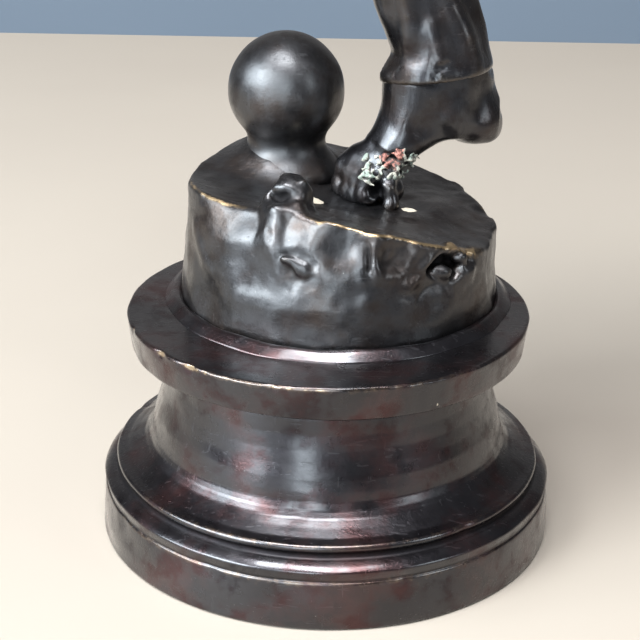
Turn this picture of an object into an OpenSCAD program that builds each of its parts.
// Bronze statuette of a barefoot young ball player on a turned socle.
// +Z is up and the origin is the centre of the socle's underside. All sizes are in millimetres.

/* [Socle] */
// Radius of the socle at the foot
socle_r = 60; // [56:0.5:66]
// Height of the socle, from the table to the underside of the top plate
socle_h = 51.6; // [50:0.2:56]
// Radius of the socle's narrow upper waist
waist_r = 42.6; // [41:0.2:44]
// Wall thickness of the hollow castings
wall = 4; // [3:0.5:5]
// Thickness of the felt let into the underside
felt_t = 1.8; // [1:0.2:3]

/* [Top plate] */
// Radius of the plate's upper edge
plate_r = 52.2; // [50:0.2:56]
// Thickness of the plate at its edge
plate_t = 8.8; // [8:0.2:11]
// Width of the rounded seat rim round the foot of the rock
rim_w = 2.2; // [1.6:0.1:2.4]

/* [Rock] */
// Radius of the rock at its foot
rock_r = 41.6; // [39:0.2:41.8]
// Height of the rock's level standing place above the table
stand_z = 85; // [82:0.5:90]

/* [Ball] */
// Radius of the ball
ball_r = 15.4; // [13:0.2:16]
// Height of the ball's centre above its seat
ball_rise = 23.3; // [22:0.1:28]

/* [Figure] */
// Direction in which the figure faces, in degrees from +X
heading = 196; // [186:1:206]
// Radius of the dowels that hold the figure's castings together
dowel_r = 2.5; // [2:0.1:3]
// Wall thickness of the hollow figure castings
figure_wall = 3.2; // [2.5:0.1:4]

/* [Hidden] */

$fn = 96;

patina = "#3a2a22";
patina_dark = "#2b211d";
brass = "#b08d4f";
steel = "#9a9da1";
felt = "#2f4a3a";
solder = "#b9a79a";

// Levels of the base
plate_z = socle_h;
rock_z = socle_h + plate_t;
deck_z = socle_h - wall;
plate_web = 4;
cavity_z = rock_z - plate_web;
boss_r = 14;
seat_in_r = 38;

// Rock
rock_c = [2.4, 8];
rock_shell_r = rock_r - 6;
rock_roof_z = 75;
rock_sides = 60;
rock_draft = 0.8;
rock_middle = stand_z + 1.5;
rock_rim = [for (rise = [-4, -2, 1.8, 4, 5, 4.5, 3.3, 6, 10.5, 8, 2, -4.2]) stand_z + rise];
post_r = 5;
post_at = [[20.7, 17.4], [-25.4, 9.2], [4.2, -23.6]];

// Centre bolt, M8, and its washers and nut under the socle's deck
bolt_r = 4;
bolt_head_r = 7.5;
bolt_head_h = 5.3;
bolt_gap = 0.4;
washer_r = 9;
washer_t = 1.6;
spring_t = 2;
nut_r = 7.5;
nut_h = 6.5;
bolt_end_z = deck_z - washer_t - spring_t - nut_h - 3;

// Plate screws, M4
screw_r = 2;
screw_head_r = 3.6;
screw_head_h = 2.6;
screw_len = 16;

// Ball
ball_at = [-12.2, 28];
ball_seat_z = 87;
ball_foot_r = 14;
ball_neck_r = 10;

// Figure: every coordinate below is [forward, left, up] from the ball of the standing foot
stand_at = [12.5, 14.5, stand_z];
break_at = [-2, 0, 7.5];
break_tilt = -33;
braze_t = 1.2;
hem_u = 32.2;
hip_u = 172;
hips_top_u = 195;
waist_u = 207;
neck_u = 287;
crotch_l = -2.5;
left_shoulder_l = 23;
right_shoulder_l = -26;
waist_at = [-12, -1.5];
spigot_r = 13;

// ---- Helpers -------------------------------------------------------------------------

function arc(c, r, a0, a1, n) =
    [for (i = [0:n]) c + r * [cos(a0 + (a1 - a0) * i / n), sin(a0 + (a1 - a0) * i / n)]];

function unit(v) = v / norm(v);
function place(s) = [s[0], s[1], s[2]];

// Catmull-Rom value between b and c
function glide(a, b, c, d, t) =
    (2 * b + (c - a) * t + (2 * a - 5 * b + 4 * c - d) * t * t
    + (3 * b - a - 3 * c + d) * t * t * t) / 2;

// Smooth sections through the given ones, steps to each stretch
function smooth(s, steps) = [
    for (i = [0:len(s) - 2], j = [0:steps - 1])
        glide(s[max(i - 1, 0)], s[i], s[i + 1], s[min(i + 2, len(s) - 1)], j / steps),
    s[len(s) - 1]
];

// Direction of travel at section i
function travel(s, i) =
    unit(place(s[min(i + 1, len(s) - 1)]) - place(s[max(i - 1, 0)]));

// One elliptical ring: half-size s[3] along the side direction and s[4] across it
function ring(s, dir, side, sides) =
    let (u = unit(side - (side * dir) * dir), v = cross(dir, u))
    [for (k = [0:sides - 1])
        place(s) + s[3] * cos(360 * k / sides) * u + s[4] * sin(360 * k / sides) * v];

// A limb or a body: a smooth skin over sections of [forward, left, up, half side, half depth]
module loft(sections, side = [0, 1, 0], sides = 20, steps = 3) {
    s = smooth(sections, steps);
    n = len(s);
    points = [for (i = [0:n - 1]) each ring(s[i], travel(s, i), side, sides)];
    skin = [
        for (i = [0:n - 2], k = [0:sides - 1])
            let (k1 = (k + 1) % sides, a = i * sides, b = a + sides)
            each [[a + k, b + k, b + k1], [a + k, b + k1, a + k1]]
    ];
    first = [for (k = [0:sides - 1]) k];
    last = [for (k = [sides - 1:-1:0]) (n - 1) * sides + k];
    polyhedron(points, concat(skin, [first], [last]));
}

// Sections made thinner all round, for the core of a hollow casting
function thinner(s, t) = [for (q = s) [q[0], q[1], q[2], q[3] - t, q[4] - t]];

module figure() {
    translate(stand_at)
        rotate([0, 0, heading])
            children();
}

// Everything from level u0 to level u1
module levels(u0, u1) {
    translate([-200, -200, u0])
        cube([400, 400, u1 - u0]);
}

// Everything between two planes that face left
module lefts(l0, l1) {
    translate([-200, l0, -20])
        cube([400, l1 - l0, 400]);
}

// A dowel of the common radius from a to b, which stand one above the other
module dowel(at, u0, u1, r = dowel_r) {
    translate([at[0], at[1], u0])
        cylinder(r = r, h = u1 - u0, $fn = 32);
}

// ---- Base ----------------------------------------------------------------------------

socle_outline = concat(
    [[socle_r, 0], [socle_r - 0.6, 11.6]],
    arc([socle_r - 4.6, 13.6], 4.2, 0, 62, 6),
    [[socle_r - 3.9, 18.6]],
    arc([socle_r - 5.2, 20.2], 1.3, -30, 80, 4),
    [[socle_r - 8.6, 23.2], [socle_r - 12.4, 25.2]],
    arc([socle_r - 13.6, 26.2], 1.2, -30, 60, 3),
    [[waist_r + 4.2, 29.5], [waist_r + 3.3, 33.5], [waist_r + 1.2, 38], [waist_r + 0.2, 43]],
    [[waist_r, socle_h - 2.6], [waist_r - 1.4, socle_h - 1.4], [waist_r - 1.4, socle_h]]
);
socle_core = [
    [0, deck_z], [waist_r - wall - 2, deck_z], [waist_r - wall, deck_z - 2], [waist_r - wall, 28],
    [socle_r - 13, 21], [socle_r - 6, 15], [socle_r - 5, felt_t], [0, felt_t]
];

module socle() {
    color(patina)
        difference() {
            rotate_extrude($fn = 160)
                polygon(concat([[0, 0]], socle_outline, [[0, socle_h]]));
            rotate_extrude($fn = 160)
                polygon(socle_core);
            translate([0, 0, -1])
                cylinder(r = socle_r - 3.6, h = felt_t + 1, $fn = 160);
            translate([0, 0, deck_z - 1])
                cylinder(r = bolt_r + bolt_gap, h = wall + 2, $fn = 48);
        }
}

module felt_pad() {
    color(felt)
        cylinder(r = socle_r - 3.8, h = felt_t, $fn = 160);
}

plate_outline = concat(
    [[0, plate_z], [plate_r - 2.1, plate_z]],
    arc([plate_r - 2.1, plate_z + 0.8], 0.8, -90, -5, 4),
    arc([plate_r - 0.9, rock_z - 0.9], 0.9, 0, 90, 5),
    [[0, rock_z]]
);

module seat_rim() {
    translate([rock_c[0], rock_c[1], rock_z])
        rotate_extrude($fn = 160)
            translate([rock_r + rim_w / 2, 0])
                intersection() {
                    circle(r = rim_w / 2, $fn = 32);
                    translate([-rim_w / 2, -0.5])
                        square([rim_w, rim_w]);
                }
}

module top_plate() {
    color(patina)
        difference() {
            union() {
                rotate_extrude($fn = 160)
                    polygon(plate_outline);
                seat_rim();
            }
            translate([0, 0, plate_z - 1])
                difference() {
                    cylinder(r = seat_in_r, h = cavity_z - plate_z + 1, $fn = 96);
                    cylinder(r = boss_r, h = cavity_z - plate_z + 2, $fn = 96);
                }
            translate([0, 0, plate_z - 1])
                cylinder(r = bolt_r, h = plate_t + 2, $fn = 48);
            for (p = post_at)
                translate([p[0], p[1], cavity_z - 1])
                    cylinder(r = screw_r, h = plate_web + 2, $fn = 32);
        }
}

module plate_screws() {
    color(brass)
        for (p = post_at)
            translate([p[0], p[1], cavity_z]) {
                translate([0, 0, -screw_head_h])
                    cylinder(r = screw_head_r, h = screw_head_h, $fn = 48);
                cylinder(r = screw_r, h = screw_len, $fn = 32);
            }
}

module centre_bolt() {
    color(steel) {
        translate([0, 0, rock_z])
            cylinder(r = bolt_head_r, h = bolt_head_h, $fn = 6);
        translate([0, 0, bolt_end_z])
            cylinder(r = bolt_r, h = rock_z - bolt_end_z, $fn = 48);
    }
}

module bolt_ring(outer_r, z, t) {
    translate([0, 0, z])
        difference() {
            cylinder(r = outer_r, h = t, $fn = 64);
            translate([0, 0, -1])
                cylinder(r = bolt_r, h = t + 2, $fn = 48);
        }
}

module flat_washer() {
    color(steel)
        bolt_ring(washer_r, deck_z - washer_t, washer_t);
}

module spring_washer() {
    color(steel)
        difference() {
            bolt_ring(bolt_r + 2.6, deck_z - washer_t - spring_t, spring_t);
            translate([bolt_r + 1.5, 0, deck_z - washer_t - spring_t / 2])
                rotate([20, 0, 0])
                    cube([5, 0.7, spring_t * 2], center = true);
        }
}

module lock_nut() {
    color(brass)
        translate([0, 0, deck_z - washer_t - spring_t - nut_h])
            difference() {
                cylinder(r = nut_r, h = nut_h, $fn = 6);
                translate([0, 0, -1])
                    cylinder(r = bolt_r, h = nut_h + 2, $fn = 48);
            }
}

// ---- Rock ----------------------------------------------------------------------------

function bump(x, y, c, rise, spread) = rise * exp(-pow(norm([x, y] - c) / spread, 2) / 2);

// Height of the rock's upper edge in a direction, through one value every 30 degrees
function rim_height(angle) =
    let (n = len(rock_rim), i = floor(angle * n / 360), t = angle * n / 360 - i)
    glide(rock_rim[(i + n - 1) % n], rock_rim[i % n], rock_rim[(i + 1) % n], rock_rim[(i + 2) % n], t);

// Height of the rock's top at share s of the way from the middle to the edge
function rock_top(x, y, angle, s) =
    rock_middle + (rim_height(angle) - rock_middle) * pow(s, 1.6)
    + bump(x, y, [-9, -21], 5, 6);

// Radius of the rock's side: broad chiselled flats between soft ridges, leaning in a little
function rock_side(angle, rise) =
    rock_r - rock_draft * rise
    - 0.9 * rise * (1 + sin(5 * angle + 60)) / 2
    - 0.5 * sin(3 * angle - 20) * sin(180 * rise);

// Point on the rock: t runs from 0 at the foot, through 1 at the top edge, to 2 at the middle
function rock_point(angle, t) =
    let (
        rise = min(t, 1),
        share = min(2 - t, 1),
        reach = t <= 1 ? rock_side(angle, rise) : rock_side(angle, 1) * share,
        x = rock_c[0] + reach * cos(angle),
        y = rock_c[1] + reach * sin(angle),
        edge = 1 - pow(min(rise * share, 1), 20) * 0.03
    )
    [x, y, rock_z + (rock_top(x, y, angle, share) - rock_z) * rise * edge];

rock_steps = [0, 0.2, 0.4, 0.6, 0.8, 0.93, 1.03, 1.12, 1.3, 1.5, 1.7, 1.88];

module rock_body() {
    rings = len(rock_steps);
    points = concat(
        [for (t = rock_steps, k = [0:rock_sides - 1]) rock_point(360 * k / rock_sides, t)],
        [[rock_c[0], rock_c[1], rock_middle]]
    );
    skin = [
        for (i = [0:rings - 2], k = [0:rock_sides - 1])
            let (k1 = (k + 1) % rock_sides, a = i * rock_sides, b = a + rock_sides)
            each [[a + k, b + k, b + k1], [a + k, b + k1, a + k1]]
    ];
    crown = [
        for (k = [0:rock_sides - 1])
            let (a = (rings - 1) * rock_sides)
            [a + k, rings * rock_sides, a + (k + 1) % rock_sides]
    ];
    foot = [for (k = [0:rock_sides - 1]) k];
    polyhedron(points, concat(skin, crown, [foot]));
}

module rock_core() {
    difference() {
        translate([rock_c[0], rock_c[1], rock_z - 1])
            cylinder(r = rock_shell_r, h = rock_roof_z - rock_z + 1, $fn = 96);
        for (p = post_at)
            translate([p[0], p[1], rock_z - 2])
                cylinder(r = post_r, h = rock_roof_z, $fn = 48);
    }
}

module rock_mound() {
    color(patina_dark)
        difference() {
            rock_body();
            rock_core();
            translate([stand_at[0], stand_at[1], stand_z])
                cylinder(r = 22, h = 20, $fn = 96);
            translate([ball_at[0], ball_at[1], ball_seat_z])
                cylinder(r = ball_foot_r + 0.2, h = 20, $fn = 64);
            for (p = post_at)
                translate([p[0], p[1], rock_z - 1])
                    cylinder(r = screw_r, h = screw_len - plate_web + 1.5, $fn = 32);
            ball_dowel_body();
            toe_dowel_body();
        }
}

// ---- Ball ----------------------------------------------------------------------------

ball_z = ball_seat_z + ball_rise;
ball_outline = concat(
    [[0, ball_seat_z], [ball_foot_r, ball_seat_z], [ball_foot_r, ball_seat_z + 0.8]],
    [[ball_foot_r - 1.8, ball_seat_z + 3.6], [ball_neck_r + 0.7, ball_seat_z + 6.4]],
    [[ball_neck_r, ball_z - 14], [ball_neck_r + 1.2, ball_z - 12]],
    arc([0, ball_z], ball_r, -42, 90, 26)
);

module ball_dowel_body() {
    translate([ball_at[0], ball_at[1], ball_seat_z - 7])
        cylinder(r = dowel_r, h = 18, $fn = 32);
}

module ball() {
    color(patina_dark)
        difference() {
            translate([ball_at[0], ball_at[1], 0])
                rotate_extrude($fn = 96)
                    polygon(ball_outline);
            ball_dowel_body();
        }
}

module ball_dowel() {
    color(brass)
        ball_dowel_body();
}

// ---- Standing foot, broken across the ball of the foot and brazed again ---------------

foot_sections = [
    [10.6, -4, 2.4, 4.6, 2], [8.4, -2.6, 4, 7.2, 3.7], [4, -1, 6.2, 9.2, 5.8],
    [-1, 0, 9.4, 9.8, 6.8], [-7, 0.2, 14.6, 9.2, 6.6], [-13, 0.4, 19.8, 8.8, 6.8],
    [-19, 0.2, 22.6, 9, 7.6], [-25.5, 0, 22.4, 9, 7.2], [-30, 0, 20.8, 6.6, 4.6]
];
ankle_sections = [
    [-17, 0, 20, 8, 8], [-16.4, 0, 25, 9.4, 12.4], [-15.4, 0, 30, 10.2, 13], [-15, 0, 35, 10.6, 12.8]
];

module foot_shape() {
    intersection() {
        union() {
            loft(foot_sections, sides = 24);
            loft(ankle_sections, sides = 24);
            loft([[8.6, -3.4, 0.6, 6, 2.8], [2, 0, 0.6, 10, 4], [-6, 1.6, 3.4, 8.6, 4.6]], sides = 24);
        }
        levels(0, hem_u);
    }
}

module break_plane(above) {
    translate(break_at)
        rotate([0, break_tilt, 0])
            translate([-60, -30, above ? braze_t / 2 : -60 - braze_t / 2])
                cube([120, 60, 60]);
}

module toe_dowel_body() {
    figure()
        translate(break_at)
            rotate([0, break_tilt, 0])
                translate([0, 0, -14])
                    cylinder(r = dowel_r, h = 26, $fn = 32);
}

module left_toes() {
    color(patina)
        difference() {
            figure()
                intersection() {
                    foot_shape();
                    break_plane(false);
                }
            toe_dowel_body();
        }
}

module left_foot() {
    color(patina)
        difference() {
            figure()
                intersection() {
                    foot_shape();
                    break_plane(true);
                }
            toe_dowel_body();
            figure()
                left_ankle_dowel();
        }
}

module toe_dowel() {
    color(brass)
        toe_dowel_body();
}

module braze_repair() {
    color(solder)
        difference() {
            figure()
                intersection() {
                    loft(foot_sections, sides = 24);
                    translate(break_at)
                        rotate([0, break_tilt, 0])
                            cube([60, 60, braze_t], center = true);
                    levels(0, hem_u);
                }
            toe_dowel_body();
        }
}

// ---- Trousers and back foot ------------------------------------------------------------

left_leg = [
    [-15, 0, 29.5, 13.6, 15.2], [-14.8, 0, 35, 13, 14.5], [-14.2, 0.3, 41, 11.8, 12.7],
    [-12, 1, 48, 11.8, 12.3], [-9.6, 2, 55, 12.3, 12.8], [-4, 4, 78, 14, 15],
    [-1, 5, 104, 14.6, 16.4], [-6, 8, 135, 16.6, 18.4], [-12, 11, 165, 18, 19.6],
    [-14, 12, 185, 18, 19.6]
];
right_thigh = [
    [-62, -25.4, 113.5, 9.5, 10.5], [-57, -24, 122, 14, 15.2], [-46, -21, 140.6, 16.4, 17.8],
    [-34, -17.7, 161, 17.8, 19.4], [-22, -14.5, 181.5, 18, 19.6]
];
right_shin = [
    [-51, -23.7, 116, 10, 11.4], [-57, -24, 122, 13.8, 15], [-74, -25, 138.5, 13.4, 14.6],
    [-92, -25.7, 156.4, 12, 12.8], [-100, -26, 164.4, 12.8, 13.6], [-107, -26, 171.2, 13.8, 14.6]
];
left_ankle = [-14.8, 0];
right_ankle = [-103, -26, 167.2];
right_shin_tilt = -46;

module left_ankle_dowel() {
    dowel(left_ankle, hem_u - 12, hem_u + 12);
}

module right_ankle_frame() {
    translate(right_ankle)
        rotate([0, right_shin_tilt, 0])
            children();
}

// What lies at least gap short of the right ankle's joint face
module below_ankle(gap) {
    intersection() {
        children();
        right_ankle_frame()
            translate([-100, -60, -300])
                cube([200, 120, 300 - gap]);
    }
}

module right_ankle_dowel() {
    right_ankle_frame()
        translate([0, 0, -12])
            cylinder(r = dowel_r, h = 22, $fn = 32);
}

module left_trouser_leg() {
    color(patina)
        figure()
            difference() {
                intersection() {
                    loft(left_leg, sides = 24);
                    levels(hem_u, hip_u);
                    lefts(crotch_l, 100);
                }
                intersection() {
                    loft(thinner(left_leg, figure_wall), sides = 16, steps = 2);
                    levels(hem_u + 14, hip_u + 1);
                    lefts(crotch_l + figure_wall, 100);
                }
                left_ankle_dowel();
            }
}

module right_trouser_leg() {
    color(patina)
        figure()
            difference() {
                intersection() {
                    union() {
                        loft(right_thigh, sides = 24);
                        below_ankle(0)
                            loft(right_shin, sides = 24);
                    }
                    levels(0, hip_u);
                    lefts(-100, crotch_l);
                }
                intersection() {
                    loft(thinner(right_thigh, figure_wall), sides = 16, steps = 2);
                    levels(0, hip_u + 1);
                    lefts(-100, crotch_l - figure_wall);
                }
                below_ankle(14)
                    loft(thinner(right_shin, figure_wall), sides = 16, steps = 2);
                right_ankle_dowel();
            }
}

back_foot_sections = [
    [-92, -26, 175, 6, 4.6], [-96, -26, 176.4, 9, 7.6], [-103, -26, 177, 9.4, 9],
    [-111, -26, 178, 9.2, 8.2], [-120, -26, 180.4, 9.4, 6.8], [-128, -26.4, 183, 9.8, 5.2],
    [-134, -26.8, 185, 9, 3.8], [-138, -27, 186.4, 6, 2]
];
back_ankle_sections = [[-97, -26, 161, 9.6, 10.4], [-103, -26, 167.2, 9.6, 10.6], [-105.6, -26, 173, 8, 9]];

module right_foot() {
    color(patina)
        figure()
            difference() {
                intersection() {
                    union() {
                        loft(back_foot_sections, sides = 24);
                        loft(back_ankle_sections, sides = 24);
                    }
                    right_ankle_frame()
                        translate([-100, -60, 0])
                            cube([200, 120, 100]);
                }
                right_ankle_dowel();
            }
}

module ankle_dowels() {
    color(brass)
        figure() {
            left_ankle_dowel();
            right_ankle_dowel();
        }
}

// ---- Body ------------------------------------------------------------------------------

hips_sections = [
    [-17.5, -2.5, 168, 31.5, 24], [-17, -2.3, 178, 29.5, 22.6], [-15, -2, 188, 25, 19.6],
    [-12.6, -1.6, 197, 21, 16.6]
];
torso_sections = [
    [-12, -1.5, 203, 19.6, 15.4], [-10.4, -1.7, 212, 20.4, 15.8], [-7, -2, 228, 24, 17.4],
    [-2.6, -2, 248, 28, 18.6], [1.4, -1.6, 264, 30.5, 17], [3.8, -1.2, 275, 25, 13.4],
    [5.4, -1, 282, 12.5, 10.6], [6.6, -1, 290, 8.6, 9]
];
hip_dowel_at = [[-12, 12], [-27, -18]];
left_arm_sections = [
    [1, 18, 266, 12.6, 12.2], [3.4, 34, 267.4, 12.2, 11.8], [13, 54, 262, 10, 9.8], [28, 74.5, 255, 8, 8],
    [44, 85, 261, 7.8, 7.4], [62, 95, 268.6, 5.2, 4.9], [71, 99.6, 272, 6.8, 4.2],
    [82, 105, 276.6, 7.4, 3.4], [91, 109.4, 280.2, 4.8, 2.4], [94, 111, 281.4, 1.6, 1.1]
];
right_arm_sections = [
    [1, -21, 266, 12.6, 12.2], [-3, -37, 268, 12.2, 11.8], [-15, -57, 264, 10, 9.8], [-30, -76, 260, 8, 8],
    [-47, -84.4, 264.6, 7.8, 7.4], [-65, -92, 270, 5.2, 4.9], [-74, -95.6, 272.4, 6.8, 4.2],
    [-85, -100, 276, 7.4, 3.4], [-94, -103.6, 279, 4.8, 2.4], [-97, -105, 280, 1.6, 1.1]
];
shoulder_at = [2, 266];
head_sections = [
    [5.6, -1, 284, 8, 8.6], [8, -1, 292, 8.2, 10.4], [11.2, -1, 297.6, 11.4, 14.6], [11, -1, 305, 14.6, 18],
    [10, -1, 314, 16.2, 19.8], [8.8, -1, 322.6, 15, 18.4], [7.8, -1, 329, 10.8, 13],
    [7.4, -1, 332, 4, 5]
];
neck_at = [6.4, -1];

module left_hip_dowels() {
    for (p = hip_dowel_at)
        dowel(p, hip_u - 10, hip_u + 10);
}

module waist_dowel_body() {
    dowel(waist_at, hips_top_u - 12, waist_u + 12, dowel_r * 1.6);
}

module arm_dowel_body(l) {
    translate([shoulder_at[0], l - 9, shoulder_at[1]])
        rotate([-90, 0, 0])
            cylinder(r = dowel_r, h = 18, $fn = 32);
}

module neck_dowel_body() {
    dowel(neck_at, neck_u - 10, neck_u + 12);
}

module hips() {
    color(patina)
        figure()
            difference() {
                intersection() {
                    loft(hips_sections, sides = 28);
                    levels(hip_u, hips_top_u);
                }
                left_hip_dowels();
                waist_dowel_body();
            }
}

module hip_dowels() {
    color(brass)
        figure()
            left_hip_dowels();
}

module sash() {
    color(patina_dark)
        figure()
            difference() {
                intersection() {
                    loft([[-12.6, -1.6, 190, 22.4, 18.2], [-12.4, -1.6, 198, 23, 18.6],
                          [-12, -1.6, 205, 22.2, 18], [-11.6, -1.6, 212, 21, 17]], sides = 28);
                    levels(hips_top_u, waist_u);
                }
                translate([waist_at[0], waist_at[1], hips_top_u - 1])
                    cylinder(r = spigot_r, h = waist_u - hips_top_u + 2, $fn = 64);
            }
}

module torso() {
    color(patina)
        figure()
            difference() {
                union() {
                    intersection() {
                        loft(torso_sections, sides = 28);
                        levels(waist_u, neck_u);
                        lefts(right_shoulder_l, left_shoulder_l);
                    }
                    translate([waist_at[0], waist_at[1], hips_top_u])
                        cylinder(r = spigot_r, h = waist_u - hips_top_u + 3, $fn = 64);
                }
                waist_dowel_body();
                arm_dowel_body(left_shoulder_l);
                arm_dowel_body(right_shoulder_l);
                neck_dowel_body();
            }
}

module waist_dowel() {
    color(brass)
        figure()
            waist_dowel_body();
}

module left_arm() {
    color(patina)
        figure()
            difference() {
                intersection() {
                    loft(left_arm_sections, side = [0, 0, 1]);
                    lefts(left_shoulder_l, 200);
                }
                arm_dowel_body(left_shoulder_l);
            }
}

module right_arm() {
    color(patina)
        figure()
            difference() {
                intersection() {
                    loft(right_arm_sections, side = [0, 0, 1]);
                    lefts(-200, right_shoulder_l);
                }
                arm_dowel_body(right_shoulder_l);
            }
}

module arm_dowels() {
    color(brass)
        figure() {
            arm_dowel_body(left_shoulder_l);
            arm_dowel_body(right_shoulder_l);
        }
}

module head() {
    color(patina)
        figure()
            difference() {
                intersection() {
                    loft(head_sections, sides = 24);
                    levels(neck_u, 400);
                }
                neck_dowel_body();
            }
}

module neck_dowel() {
    color(brass)
        figure()
            neck_dowel_body();
}

socle();
felt_pad();
top_plate();
rock_mound();
plate_screws();
centre_bolt();
flat_washer();
spring_washer();
lock_nut();
ball();
ball_dowel();
left_toes();
left_foot();
toe_dowel();
braze_repair();
left_trouser_leg();
right_trouser_leg();
right_foot();
ankle_dowels();
hips();
hip_dowels();
sash();
torso();
waist_dowel();
left_arm();
right_arm();
arm_dowels();
head();
neck_dowel();
